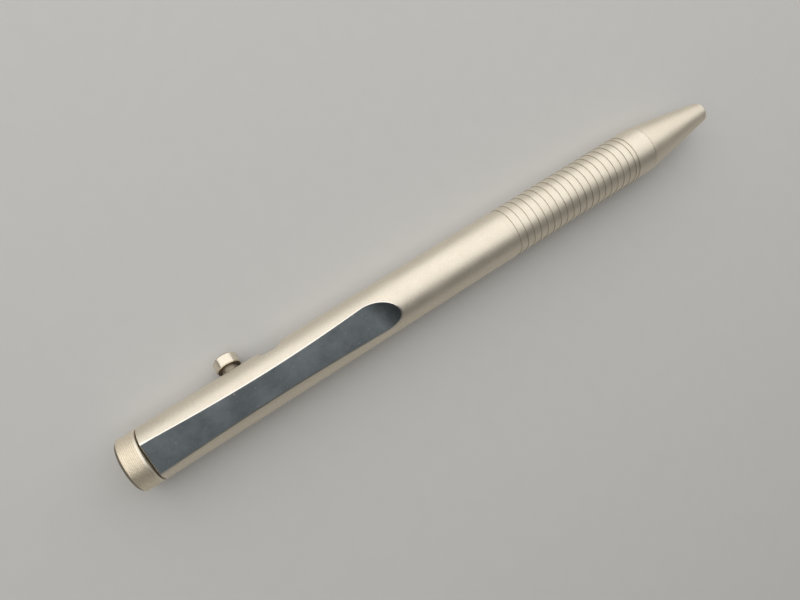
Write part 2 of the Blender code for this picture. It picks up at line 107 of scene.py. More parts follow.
# Its edge is chamfered. Near the rear cap, where pens are knocked most, the chamfer is worn wider.
CHAMFER_DEPTH = 0.08 * MM
CHAMFER_LEAN = 0.35
CORNER_WEAR = 1.6
CORNER_LENGTH = 2.6 * MM


def facet_depth(station, angle):
    """How deep the facet lies under the round surface, at an angle from the facet's normal."""
    half = FACET_LENGTH / 2
    lean = FACET_LEAN * RADIUS * math.sin(angle) * min(max((station - half) / half, 0.0), 1.0)
    along = station + lean
    share = along / half - 1
    ahead = min(max(along - FACET_LENGTH, 0.0), FACET_RUNOUT_RADIUS)
    crown = FACET_CROWN * max(1 - share * share, 0.0)
    runout = FACET_RUNOUT_RADIUS - math.sqrt(FACET_RUNOUT_RADIUS**2 - ahead**2)
    return RADIUS * math.cos(angle) - FACET_END_HEIGHT - crown - runout


def edge_angles(station, depth):
    """The two angles where the facet lies this deep, equal where it isn't so deep anywhere."""
    deepest = max(FACET_ANGLES, key=lambda angle: facet_depth(station, angle))
    edges = []
    for outside in (FACET_ANGLES[0], FACET_ANGLES[-1]):
        inside = deepest
        for _ in range(EDGE_HALVINGS):
            middle = (inside + outside) / 2
            if facet_depth(station, middle) > depth:
                inside = middle
            else:
                outside = middle
        edges.append(inside)
    return edges


def barrel_ring(station, shrink=0.0):
    """One section of the outside: the facet, a chamfer at each edge of it, and the round part.

    Ahead of the facet's tip the columns keep the angles that they have there.
    """
    wear = 1 + CORNER_WEAR * max(1 - station / CORNER_LENGTH, 0.0)
    chamfer = CHAMFER_DEPTH * wear
    on_facet = min(station, FACET_TIP)
    first, last = edge_angles(on_facet, chamfer * CHAMFER_LEAN / (1 - CHAMFER_LEAN))
    start, end = edge_angles(on_facet, -chamfer)
    points = []
    for i in range(FACET_COLUMNS + 1):
        angle = first + (last - first) * i / FACET_COLUMNS
        depth = facet_depth(station, angle)
        chamfered = max((depth + chamfer) * CHAMFER_LEAN, 0.0)
        height = RADIUS * math.cos(angle) - max(depth, chamfered)
        points.append((RADIUS * math.sin(angle), height))
    for i in range(ROUND_COLUMNS + 1):
        angle = end + (start + math.tau - end) * i / ROUND_COLUMNS
        points.append((RADIUS * math.sin(angle), RADIUS * math.cos(angle)))
    scale = 1 - shrink / RADIUS
    turn = Matrix.Rotation(FACET_FROM_KNOB - math.pi / 2, 4, "X")
    return [turn @ Vector((station, across * scale, height * scale)) for across, height in points]


def bore_ring(station, radius):
    """One section of the bore, with its points beside those of the outside."""
    count = ROUND_COLUMNS + FACET_COLUMNS + 2
    first = math.pi / 2 - FACET_FROM_KNOB - math.tau * FACET_COLUMNS / count / 2
    angles = [math.pi / 2 - first - math.tau * i / count for i in range(count)]
    return [Vector((station, radius * math.cos(a), radius * math.sin(a))) for a in angles]


def spaced(start, end, step):
    """Stations from start to end, both included, no further apart than step."""
    count = math.ceil((end - start) / step)
    return [start + (end - start) * i / count for i in range(count + 1)]


# The grip is 19 equal grooves and a narrower last one, turned with a square tool. Only what lies in the
# barrel's outer skin belongs to it.
GROOVE_START = 78.3 * MM
GROOVE_PITCH = 1.73 * MM
GROOVE_WIDTH = 1.1 * MM
GROOVE_DEPTH = 0.12 * MM
GROOVE_REAR_WALL = 0.08 * MM
GROOVE_FRONT_WALL = 0.05 * MM
LAST_GROOVE_WIDTH = 0.45 * MM
GROOVES = 20
GRIP_LENGTH = (GROOVES - 1) * GROOVE_PITCH + LAST_GROOVE_WIDTH
SKIN = 0.5 * MM

# Each span of sections gives its start, its end and its step. They lie closest where the facet runs out.
SECTION_SPANS = (
    (EDGE_BREAK, 44.0 * MM, 0.8 * MM),
    (44.2 * MM, 49.0 * MM, 0.24 * MM),
    (49.1 * MM, FACET_TIP, 0.05 * MM),
    (52.0 * MM, GROOVE_START - EDGE_BREAK, 2.0 * MM),
)
outside_stations = []
for span_start, span_end, step in SECTION_SPANS:
    outside_stations += spaced(span_start, span_end, step)
for i in range(GROOVES):
    groove = GROOVE_START + i * GROOVE_PITCH
    width = GROOVE_WIDTH if i < GROOVES - 1 else LAST_GROOVE_WIDTH
    rear_corner = groove + min(GROOVE_REAR_WALL, width / 2)
    outside_stations += [groove, rear_corner, groove + width - GROOVE_FRONT_WALL, groove + width]
outside_stations.append(BARREL_LENGTH - EDGE_BREAK)

rings = [barrel_ring(0.0, EDGE_BREAK)]
rings += [barrel_ring(station) for station in outside_stations]
rings.append(barrel_ring(BARREL_LENGTH, EDGE_BREAK))
OUTSIDE_ROWS = len(rings) - 1
front_stations = spaced(BARREL_LENGTH - THREAD_DEPTH, BARREL_LENGTH, THREAD_STEP)
rear_stations = spaced(0.0, THREAD_DEPTH, THREAD_STEP)
rings += [bore_ring(station, FRONT_THREAD_RADIUS) for station in reversed(front_stations)]
rings.append(bore_ring(BARREL_LENGTH - THREAD_DEPTH, BORE_RADIUS))
rings.append(bore_ring(THREAD_DEPTH, BORE_RADIUS))
rings += [bore_ring(station, REAR_THREAD_RADIUS) for station in reversed(rear_stations)]

ROUND_FINISH = 0
FACET_FINISH = 1
CHAMFER_FINISH = 2
# The grooves' walls carry a painted shade.
GROOVE_PAINTED_SHADE = 3


def outside_finish(row, column):
    """What a face of the barrel shows: the facet, the chamfer that frames it, or the round part."""
    if row >= OUTSIDE_ROWS or column > FACET_COLUMNS + 1:
        return ROUND_FINISH
    at_edge = row == 0 or column in (0, FACET_COLUMNS + 1)
    return CHAMFER_FINISH if at_edge else FACET_FINISH


def loft(name, loops, joined=False, capped=False, finish_of=None):
    """A solid of quads from each loop of points to the next.

    A joined one runs on from its last loop to its first, a capped one has a face at both ends, and any
    other starts and ends on its axis. A face can note its finish and keeps the note when it is cut.
    """
    bm = bmesh.new()
    note = bm.faces.layers.int.new("finish") if finish_of else None
    columns = [[bm.verts.new(point) for point in loop] for loop in loops]
    if capped:
        bm.faces.new(columns[0])
        bm.faces.new(columns[-1])
    following = columns[1:] + columns[:1] if joined else columns[1:]
    for row, (near, far) in enumerate(zip(columns, following)):
        for i in range(len(near)):
            face = bm.faces.new((near[i - 1], near[i], far[i], far[i - 1]))
            if finish_of:
                face[note] = finish_of(row, i)
    bmesh.ops.remove_doubles(bm, verts=bm.verts, dist=MERGE_DISTANCE)
    if capped:
        bmesh.ops.triangulate(bm, faces=bm.faces)
    bmesh.ops.recalc_face_normals(bm, faces=bm.faces)
    mesh = bpy.data.meshes.new(name)
    bm.to_mesh(mesh)
    bm.free()
    obj = bpy.data.objects.new(name, mesh)
    bpy.context.scene.collection.objects.link(obj)
    return obj


MATH = "ShaderNodeMath"


def add_node(tree, kind, inputs=None, **settings):
    """Adds a node with its settings and links.

    An input goes by its name or number. It gets a value, an output, or a node's first output.
    """
    node = tree.nodes.new(kind)
    for name, value in settings.items():
        setattr(node, name, value)
    for key, value in (inputs or {}).items():
        source = value.outputs[0] if isinstance(value, bpy.types.Node) else value
        if isinstance(source, bpy.types.NodeSocket):
            tree.links.new(source, node.inputs[key])
        else:
            node.inputs[key].default_value = source
    return node


def start_tree(name, sockets):
    """A Geometry Nodes tree and its given inputs, from their names and kinds. It makes geometry."""
    tree = bpy.data.node_groups.new(name, "GeometryNodeTree")
    for socket, kind in sockets.items():
        tree.interface.new_socket(socket, in_out="INPUT", socket_type=f"NodeSocket{kind}")
    tree.interface.new_socket("Geometry", in_out="OUTPUT", socket_type="NodeSocketGeometry")
    return tree, add_node(tree, "NodeGroupInput").outputs


def end_tree(tree, geometry, material):
    """Ends a Geometry Nodes tree: what it made becomes one plain mesh and gets its material."""
    plain = add_node(tree, "GeometryNodeRealizeInstances", {0: geometry})
    dressed = add_node(tree, "GeometryNodeSetMaterial", {"Geometry": plain, "Material": material})
    add_node(tree, "NodeGroupOutput", {0: dressed})


def relief_tree():
    """Geometry Nodes that cut ring grooves, or with a helix a thread, into a surface turned about X.

    A point goes in by the depth times its share of each wall: its own groove's two and those that
    start and end the whole run.
    """
    sizes = "Start Length Pitch Width RearWall FrontWall Depth FromRadius ToRadius Helix".split()
    sockets = {"Geometry": "Geometry", **{size: "Float" for size in sizes}, "Material": "Material"}
    tree, given = start_tree("turned relief", sockets)
    position = add_node(tree, "GeometryNodeInputPosition")
    place = add_node(tree, "ShaderNodeSeparateXYZ", {0: position}).outputs
    spoke = add_node(tree, "ShaderNodeCombineXYZ", {1: place[1], 2: place[2]})
    radius = add_node(tree, "ShaderNodeVectorMath", {0: spoke}, operation="LENGTH").outputs["Value"]

    turned = add_node(tree, MATH, {0: place[2], 1: place[1]}, operation="ARCTAN2")
    turns = add_node(tree, MATH, {0: turned, 1: math.tau}, operation="DIVIDE")
    wound = add_node(tree, MATH, {0: turns, 1: given["Helix"]}, operation="MULTIPLY")
    along = add_node(tree, MATH, {0: place[0], 1: given["Start"]}, operation="SUBTRACT")
    pitches = add_node(tree, MATH, {0: along, 1: given["Pitch"]}, operation="DIVIDE")
    unwound = add_node(tree, MATH, {0: pitches, 1: wound}, operation="SUBTRACT")
    phase = add_node(tree, MATH, {0: unwound}, operation="FRACT")
    into = add_node(tree, MATH, {0: phase, 1: given["Pitch"]}, operation="MULTIPLY")
    to_front = add_node(tree, MATH, {0: given["Width"], 1: into}, operation="SUBTRACT")
    left_over = add_node(tree, MATH, {0: given["Length"], 1: along}, operation="SUBTRACT")

    inside = add_node(tree, MATH, {0: radius, 1: given["FromRadius"]}, operation="GREATER_THAN")
    outside = add_node(tree, MATH, {0: radius, 1: given["ToRadius"]}, operation="LESS_THAN")
    depth = add_node(tree, MATH, {0: inside, 1: outside}, operation="MULTIPLY")
    for distance, wall in (
        (into, "RearWall"), (to_front, "FrontWall"), (along, "RearWall"), (left_over, "FrontWall"),
    ):
        ramp = add_node(tree, MATH, {0: distance, 1: given[wall]}, operation="DIVIDE", use_clamp=True)
        depth = add_node(tree, MATH, {0: depth, 1: ramp}, operation="MULTIPLY")
    depth = add_node(tree, MATH, {0: depth, 1: given["Depth"]}, operation="MULTIPLY")

    inward = add_node(tree, MATH, {0: depth, 1: -1.0}, operation="MULTIPLY")
    outward = add_node(tree, "ShaderNodeVectorMath", {0: spoke}, operation="NORMALIZE")
    offset = add_node(tree, "ShaderNodeVectorMath", {0: outward, "Scale": inward}, operation="SCALE")
    moved = add_node(tree, "GeometryNodeSetPosition", {"Geometry": given["Geometry"], "Offset": offset})
    end_tree(tree, moved, given["Material"])
    return tree


RELIEF = relief_tree()


def add_nodes_modifier(obj, tree, values):
    """Puts a Geometry Nodes tree on an object, with its inputs given by name."""
    modifier = obj.modifiers.new(tree.name, "NODES")
    modifier.node_group = tree
    for item in tree.interface.items_tree:
        if item.name in values:
            modifier[item.identifier] = values[item.name]


def thread_values(start, length, radius, relief, material):
    """The relief's inputs for a thread. A negative relief stands out of the surface."""
    return {
        "Start": start, "Length": length, "Pitch": THREAD_PITCH, "Width": THREAD_PITCH,
        "RearWall": THREAD_PITCH / 2, "FrontWall": THREAD_PITCH / 2, "Depth": relief,
        "FromRadius": radius - EDGE_BREAK, "ToRadius": radius + EDGE_BREAK, "Helix": 1.0,
        "Material": material,
    }


def finish_piece(obj, body, node, crisp, place=PEN):
    """Bakes the modifiers, puts the mesh in its place on the pen, hangs it on its body and hides the CAD
    node.

    Edges that bend by more than the crisp angle are drawn sharp.
    """
    evaluated = obj.evaluated_get(bpy.context.evaluated_depsgraph_get())
    mesh = bpy.data.meshes.new_from_object(evaluated)
    cutters = [m.object for m in obj.modifiers if m.type == "BOOLEAN"]
    obj.modifiers.clear()
    for cutter in cutters:
        bpy.data.objects.remove(cutter)
    # The cuts leave slivers without any area. Among triangles these can be merged away.
    bm = bmesh.new()
    bm.from_mesh(mesh)
    bmesh.ops.triangulate(bm, faces=bm.faces)
    bmesh.ops.dissolve_degenerate(bm, dist=MERGE_DISTANCE, edges=bm.edges)
    bm.to_mesh(mesh)
    bm.free()
    obj.data = mesh
    mesh.transform(place)
    mesh.shade_smooth()
    mesh.set_sharp_from_angle(angle=crisp)
    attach(obj, body)
    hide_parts(node)


def linear(hex_colour):
    """An sRGB hex colour as linear RGBA."""
    channels = [int(hex_colour[i:i + 2], 16) / 255 for i in (1, 3, 5)]
    return (*[c / 12.92 if c <= 0.04045 else ((c + 0.055) / 1.055) ** 2.4 for c in channels], 1.0)


def start_material(name, metallic):
    """A new material, its tree, its shader, and the places on the piece that its patterns follow."""
    material = bpy.data.materials.new(name)
    material.use_nodes = True
    tree = material.node_tree
    shader = tree.nodes["Principled BSDF"]
    shader.inputs["Metallic"].default_value = metallic
    return material, tree, shader, add_node(tree, "ShaderNodeTexCoord").outputs["Object"]


BUMP_HEIGHT = 0.01 * MM
BEAD_CLOUDS = 12
BEAD_SHINE = 0.04


def blasted_titanium(name, light, dark, roughness, grain):
    """Titanium blasted with fine glass beads: warm, softly shining metal with a close mottled grain.

    The beads leave dents of about 0.1 mm, drawn three times as wide, to show at all. The shine varies
    a little in clouds a dozen dents across.
    """
    material, tree, shader, where = start_material(name, 1.0)
    dents = add_node(tree, "ShaderNodeTexNoise", {"Vector": where, "Scale": 1 / grain, "Detail": 2.0})
    tone = add_node(
        tree, "ShaderNodeMix", {0: dents, 6: linear(dark), 7: linear(light)}, data_type="RGBA"
    )
    tree.links.new(tone.outputs[2], shader.inputs["Base Color"])
    cloud = 1 / (BEAD_CLOUDS * grain)
    clouds = add_node(tree, "ShaderNodeTexNoise", {"Vector": where, "Scale": cloud, "Detail": 3.0})
    shine = add_node(
        tree, "ShaderNodeMapRange",
        {"Value": clouds, "From Min": 0.3, "From Max": 0.7,
         "To Min": roughness - BEAD_SHINE, "To Max": roughness + BEAD_SHINE},
    )
    tree.links.new(shine.outputs[0], shader.inputs["Roughness"])
    bump = add_node(tree, "ShaderNodeBump", {"Height": dents, "Strength": 0.35, "Distance": BUMP_HEIGHT})
    tree.links.new(bump.outputs[0], shader.inputs["Normal"])
    return material


# The round part has the full blasting: pale and warm, with one wide soft band of light. The chamfer is
# cut after it and left bright, so that it draws a thin white line round the facet. The grooves' walls
# are painted darker, a painted shade, so that each groove has a fine line at both its edges.
BEAD_GRAIN = 0.3 * MM
barrel_titanium = blasted_titanium("bead blasted titanium", "#f0e7d6", "#dad1c0", 0.5, BEAD_GRAIN)
cut_titanium = blasted_titanium("bright cut titanium", "#f4efe6", "#e8e2d6", 0.3, BEAD_GRAIN)
groove_wall_painted_shade = blasted_titanium("titanium painted with groove shade", "#c2b8a6", "#aea492", 0.38, BEAD_GRAIN)

# The facet is milled and then rubbed to a grey shine, with soft clouds where hands and cloths have
# worn it and a scatter of bright nicks. Real nicks are under 0.1 mm; they are drawn larger, to show.
CLOUD = 6 * MM
NICK = 0.28 * MM
facet_titanium, tree, shader, where = start_material("rubbed titanium facet", 1.0)
clouds = add_node(
    tree, "ShaderNodeTexNoise", {"Vector": where, "Scale": 1 / CLOUD, "Detail": 6.0, "Roughness": 0.65}
)
worn = add_node(tree, "ShaderNodeMapRange", {"Value": clouds, "From Min": 0.35, "From Max": 0.65})
grey = add_node(
    tree, "ShaderNodeMix", {0: worn, 6: linear("#5a6062"), 7: linear("#6f7578")}, data_type="RGBA"
)
specks = add_node(tree, "ShaderNodeTexNoise", {"Vector": where, "Scale": 1 / NICK, "Detail": 1.0})
nicks = add_node(tree, "ShaderNodeMapRange", {"Value": specks, "From Min": 0.73, "From Max": 0.8})
nicked = add_node(
    tree, "ShaderNodeMix", {0: nicks, 6: grey.outputs[2], 7: linear("#a9adaf")}, data_type="RGBA"
)
tree.links.new(nicked.outputs[2], shader.inputs["Base Color"])
shine = add_node(tree, "ShaderNodeMapRange", {"Value": clouds, "To Min": 0.26, "To Max": 0.42})
tree.links.new(shine.outputs[0], shader.inputs["Roughness"])
dented = add_node(tree, "ShaderNodeBump", {"Height": nicks, "Strength": 0.5, "Distance": BUMP_HEIGHT})
tree.links.new(dented.outputs[0], shader.inputs["Normal"])

# The bolt's slot is milled through the wall with a round tool. The tool's path runs along the pen, then
# turns towards the facet and back a little into the pocket that holds the bolt. Its rim is chamfered.
# The cutters flare out well past the surface, so that no film of metal is left over the slot.
SLOT_HALF = 1.8 * MM
SLOT_CHAMFER = 0.14 * MM
BOLT_REST = 18.6 * MM
BOLT_FRONT = 27.3 * MM
LOCK_STATION = 26.15 * MM
LOCK_TURN = math.radians(33)
CUTTER_FLARE = 0.9 * MM
TURN_STEPS = 24
WALL_INSET = 0.02 * MM
SWEEP_START = math.radians(-2)
SWEEP_END = LOCK_TURN - math.radians(0.5)


def milled_hole(name, start, end, turn):
    """A cutter for a straight slot with round ends, whose walls flare out at the barrel's surface."""
    loops = []
    for wider, rise in (
        (0.0, None), (0.0, -SLOT_CHAMFER), (SLOT_CHAMFER, 0.0), (SLOT_CHAMFER + CUTTER_FLARE, CUTTER_FLARE),
    ):
        loop = []
        for i in range(2 * TURN_STEPS + 2):
            angle = math.pi / 2 + math.pi * (i - (i > TURN_STEPS)) / TURN_STEPS
            centre = start if i <= TURN_STEPS else end
            side = (SLOT_HALF + wider) * math.sin(angle)
            height = BORE_RADIUS / 2 if rise is None else math.sqrt(RADIUS**2 - side**2) + rise
            loop.append((centre + (SLOT_HALF + wider) * math.cos(angle), height, side))
        loops.append(loop)
    cutter = loft(name, loops, capped=True)
    cutter.data.transform(Matrix.Rotation(turn, 4, "X"))
    return cutter


def turning_cutter(name):
    """The sector that the tool sweeps between the slot and the pocket, a hair inside their walls."""
    rear = LOCK_STATION - SLOT_HALF + WALL_INSET
    front = BOLT_FRONT + SLOT_HALF - WALL_INSET
    flare = SLOT_CHAMFER + CUTTER_FLARE
    corners = (
        (rear, BORE_RADIUS / 2),
        (rear, RADIUS - SLOT_CHAMFER),
        (rear - flare, RADIUS + CUTTER_FLARE),
        (front + flare, RADIUS + CUTTER_FLARE),
        (front, RADIUS - SLOT_CHAMFER),
        (front, BORE_RADIUS / 2),
    )
    loops = []
    for i in range(TURN_STEPS + 1):
        angle = SWEEP_START + (SWEEP_END - SWEEP_START) * i / TURN_STEPS
        loops.append([(x, r * math.cos(angle), r * math.sin(angle)) for x, r in corners])
    return loft(name, loops, capped=True)


barrel = loft("barrel_tube", rings, joined=True, finish_of=outside_finish)
grip = {
    "Start": GROOVE_START, "Length": GRIP_LENGTH, "Pitch": GROOVE_PITCH, "Width": GROOVE_WIDTH,
    "RearWall": GROOVE_REAR_WALL, "FrontWall": GROOVE_FRONT_WALL, "Depth": GROOVE_DEPTH,
    "FromRadius": RADIUS - SKIN, "ToRadius": RADIUS + SKIN, "Helix": 0.0, "Material": barrel_titanium,
}
add_nodes_modifier(barrel, RELIEF, grip)
for start, radius in ((0.0, REAR_THREAD_RADIUS), (BARREL_LENGTH - THREAD_DEPTH, FRONT_THREAD_RADIUS)):
    inner_thread = thread_values(start, THREAD_DEPTH, radius, THREAD_RELIEF, barrel_titanium)
    add_nodes_modifier(barrel, RELIEF, inner_thread)
for cutter in (
    milled_hole("channel_cutter", BOLT_REST, BOLT_FRONT, 0.0),
    turning_cutter("turning_cutter"),
    milled_hole("lock_cutter", LOCK_STATION, BOLT_FRONT, LOCK_TURN),
):
    boolean = barrel.modifiers.new(cutter.name, "BOOLEAN")
    boolean.operation = "DIFFERENCE"
    boolean.solver = "EXACT"
    boolean.object = cutter
finish_piece(barrel, "barrel", "barrel", BARREL_CRISP)

for material in (facet_titanium, cut_titanium, groove_wall_painted_shade):
    barrel.data.materials.append(material)
for polygon, note in zip(barrel.data.polygons, barrel.data.attributes["finish"].data):
    polygon.material_index = note.value
    # Faces of the grip that face fore or aft, the grooves' walls, get the painted shade.
    in_grip = station_of(polygon.center.x) > GROOVE_START and off_axis(polygon.center) > RADIUS - SKIN
    if in_grip and abs(polygon.normal.x) > math.sin(math.pi / 4):
        polygon.material_index = GROOVE_PAINTED_SHADE

# Rear cap: a short titanium cap with fine turned lines, which screws into the barrel by a plug.
# Its neck carries the O ring. The real lines lie closer and shallower; they are drawn coarser, to show.
cap_low, cap_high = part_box("rear_cap")
CAP_REAR = station_of(cap_low[0])
CAP_FRONT = -0.3 * MM
CAP_REAR_CHAMFER = 0.5 * MM
CAP_FRONT_CHAMFER = 0.12 * MM
CAP_NECK_RADIUS = 2.3 * MM
CAP_PLUG_RADIUS = 3.35 * MM
CAP_PLUG_REAR = 1.05 * MM
CAP_PLUG_FRONT = station_of(cap_high[0])
CAP_LINE_PITCH = 0.3 * MM
CAP_LINE_WIDTH = 0.2 * MM
CAP_LINE_DEPTH = 0.1 * MM
CAP_LINE_WALL = 0.1 * MM
TURNED_SIDES = 144
TURNED_CRISP = math.radians(20)


def turned_piece(name, outline, sides, joined=False):
    """Spins an outline of (station, radius) points about X. One not joined starts and ends on the axis."""
    angles = [math.tau * i / sides for i in range(sides)]
    loops = [
        [(station, radius * math.cos(angle), radius * math.sin(angle)) for angle in angles]
        for station, radius in outline
    ]
    return loft(name, loops, joined=joined)


line_start = CAP_REAR + CAP_REAR_CHAMFER
line_end = CAP_FRONT - CAP_FRONT_CHAMFER
cap_lines = int((line_end - line_start) / CAP_LINE_PITCH)
cap_side = []
for i in range(cap_lines):
    line = line_start + i * CAP_LINE_PITCH
    cap_side += [(line + into, RADIUS) for into in (0.0, CAP_LINE_WALL, CAP_LINE_WIDTH)]
plug_stations = spaced(CAP_PLUG_REAR, CAP_PLUG_FRONT - CAP_FRONT_CHAMFER, THREAD_STEP)
outline = [
    (CAP_REAR, 0.0),
    (CAP_REAR, RADIUS - CAP_REAR_CHAMFER),
    (CAP_REAR + CAP_REAR_CHAMFER, RADIUS),
    *cap_side,
    (line_end, RADIUS),
    (CAP_FRONT, RADIUS - CAP_FRONT_CHAMFER),
    (CAP_FRONT, CAP_NECK_RADIUS),
    (CAP_PLUG_REAR, CAP_NECK_RADIUS),
    *[(station, CAP_PLUG_RADIUS) for station in plug_stations],
    (CAP_PLUG_FRONT, CAP_PLUG_RADIUS - CAP_FRONT_CHAMFER),
    (CAP_PLUG_FRONT, 0.0),
]
cap = turned_piece("rear_cap_turned", outline, TURNED_SIDES)

# The cap has the barrel's blasting, which the fine lines break up, so that it looks a little paler. Its
# rear chamfer is turned last and painted darker as painted shade, a dark rim round the end.
cap_titanium = blasted_titanium("turned and blasted titanium", "#f8efdd", "#e2d8c6", 0.48, BEAD_GRAIN)
painted_shade_titanium = blasted_titanium("titanium painted with shade", "#9a907f", "#877e6f", 0.45, BEAD_GRAIN)
fine_lines = {
    "Start": line_start, "Length": cap_lines * CAP_LINE_PITCH, "Pitch": CAP_LINE_PITCH,
    "Width": CAP_LINE_WIDTH, "RearWall": CAP_LINE_WALL, "FrontWall": CAP_LINE_WALL,
    "Depth": CAP_LINE_DEPTH, "FromRadius": RADIUS - EDGE_BREAK, "ToRadius": RADIUS + EDGE_BREAK,
    "Helix": 0.0, "Material": cap_titanium,
}
plug_length = CAP_PLUG_FRONT - CAP_PLUG_REAR
cap_thread = thread_values(CAP_PLUG_REAR, plug_length, CAP_PLUG_RADIUS, -THREAD_RELIEF, cap_titanium)
add_nodes_modifier(cap, RELIEF, fine_lines)
add_nodes_modifier(cap, RELIEF, cap_thread)
finish_piece(cap, "rear_cap", "rear_cap", TURNED_CRISP)
cap.data.materials.append(painted_shade_titanium)
# The rear chamfer, but not the end face, gets the painted shade.
for polygon in cap.data.polygons:
    end_face = off_axis(polygon.center) < RADIUS - CAP_REAR_CHAMFER
    if station_of(polygon.center.x) < CAP_REAR + CAP_REAR_CHAMFER and not end_face:
        polygon.material_index = 1

# Nose cone: a plain titanium cone that screws into the barrel's front. It is bored for the spring and
# for the refill's point, and its tip is rounded.
nose_low, nose_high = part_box("nose_cone")
SEAM = 0.03 * MM
NOSE_REAR = station_of(nose_low[0])
NOSE_END = station_of(nose_high[0])
NOSE_BASE = BARREL_LENGTH + SEAM
STUB_RADIUS = 3.9 * MM
NOSE_TIP_RADIUS = 2.3 * MM
NOSE_TIP_ROUNDING = 0.35 * MM
NOSE_TIP_BORE = 1.5 * MM
SPRING_SEAT = 127.8 * MM
CHAMBER_RADIUS = 2.64 * MM
CHAMBER_REAR = 121.2 * MM
ROUNDING_STEPS = 5

taper = math.atan2(RADIUS - NOSE_TIP_RADIUS, NOSE_END - NOSE_TIP_ROUNDING - NOSE_BASE)
rounding = []
for i in range(ROUNDING_STEPS + 1):
    angle = math.pi / 2 - taper - (math.pi / 2 - taper) * i / ROUNDING_STEPS
    rounding.append((
        NOSE_END - NOSE_TIP_ROUNDING + NOSE_TIP_ROUNDING * math.cos(angle),
        NOSE_TIP_RADIUS - NOSE_TIP_ROUNDING + NOSE_TIP_ROUNDING * math.sin(angle),
    ))
outline = [
    (NOSE_REAR, BORE_RADIUS),
    *[(station, STUB_RADIUS) for station in spaced(NOSE_REAR, NOSE_BASE, THREAD_STEP)],
    (NOSE_BASE, RADIUS - EDGE_BREAK),
    (NOSE_BASE + EDGE_BREAK, RADIUS),
    *rounding,
    (NOSE_END, NOSE_TIP_BORE),
    (SPRING_SEAT, NOSE_TIP_BORE),
    (SPRING_SEAT, CHAMBER_RADIUS),
    (CHAMBER_REAR, CHAMBER_RADIUS),
    (CHAMBER_REAR, BORE_RADIUS),
]
nose = turned_piece("nose_cone_turned", outline, TURNED_SIDES, joined=True)

# The cone's blasting is that of the barrel. Its rounded tip is rubbed bright by paper and pockets.
nose_titanium = blasted_titanium("blasted titanium cone", "#eee5d3", "#d9cfbd", 0.48, BEAD_GRAIN)
nose_thread = thread_values(
    NOSE_REAR, BARREL_LENGTH - NOSE_REAR, STUB_RADIUS, -THREAD_RELIEF, nose_titanium
)
add_nodes_modifier(nose, RELIEF, nose_thread)
finish_piece(nose, "nose", "nose_cone", TURNED_CRISP)
nose.data.materials.append(cut_titanium)
for polygon in nose.data.polygons:
    if station_of(polygon.center.x) > NOSE_END - NOSE_TIP_ROUNDING:
        polygon.material_index = 1

# Bolt knob: a small titanium head on a neck that runs in the slot. Its stud screws into the steel
# carrier in the bore.
KNOB_BASE = 6.2 * MM
KNOB_TOP_CHAMFER = 0.4 * MM
KNOB_BASE_CHAMFER = 0.15 * MM
KNOB_TOP = KNOB_RIM_HEIGHT + KNOB_TOP_CHAMFER
NECK_RADIUS = 1.6 * MM
STUD_RADIUS = 1.0 * MM
STUD_END = -0.9 * MM
KNOB_SIDES = 96
outline = [
    (STUD_END, 0.0),
    (STUD_END, STUD_RADIUS),
    (BORE_RADIUS, STUD_RADIUS),
    (BORE_RADIUS, NECK_RADIUS),
    (KNOB_BASE, NECK_RADIUS),
    (KNOB_BASE, KNOB_RADIUS - KNOB_BASE_CHAMFER),
    (KNOB_BASE + KNOB_BASE_CHAMFER, KNOB_RADIUS),
    (KNOB_RIM_HEIGHT, KNOB_RADIUS),
    (KNOB_TOP, KNOB_RADIUS - KNOB_TOP_CHAMFER),
    (KNOB_TOP, 0.0),
]
knob = turned_piece("bolt_knob_turned", outline, KNOB_SIDES)

# The head is turned bright and polished by the thumb, so that it has sharp white and dark bands. Its
# underside and neck are painted darker, as painted shade under the head.
knob_titanium = blasted_titanium("turned titanium knob", "#ece2d0", "#dcd2bf", 0.27, BEAD_GRAIN)
knob.data.materials.append(knob_titanium)
on_slot = PEN @ Matrix.Translation((BOLT_REST, 0, 0)) @ Matrix.Rotation(math.pi / 2, 4, "Z")
finish_piece(knob, "bolt", "bolt_knob", TURNED_CRISP, on_slot)
knob.data.materials.append(painted_shade_titanium)
from_slot = on_slot.inverted()
# The neck and the head's underside get the painted shade.
for polygon in knob.data.polygons:
    if (from_slot @ polygon.center).x < KNOB_BASE + KNOB_BASE_CHAMFER / 4:
        polygon.material_index = 1

# Return spring: drawn spring steel wire wound into a plain coil, between the refill's flange and its
# seat in the nose cone. It is squashed as the bolt pushes the refill out.
spring_low, spring_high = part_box("return_spring")
WIRE_RADIUS = 0.22 * MM
COIL_RADIUS = 2.12 * MM
COIL_TURNS = 11
DEAD_TURNS = 1.0
DEAD_PITCH = 1.05
POINTS_PER_TURN = 28
WIRE_SIDES = 10
WIRE_CRISP = math.radians(50)


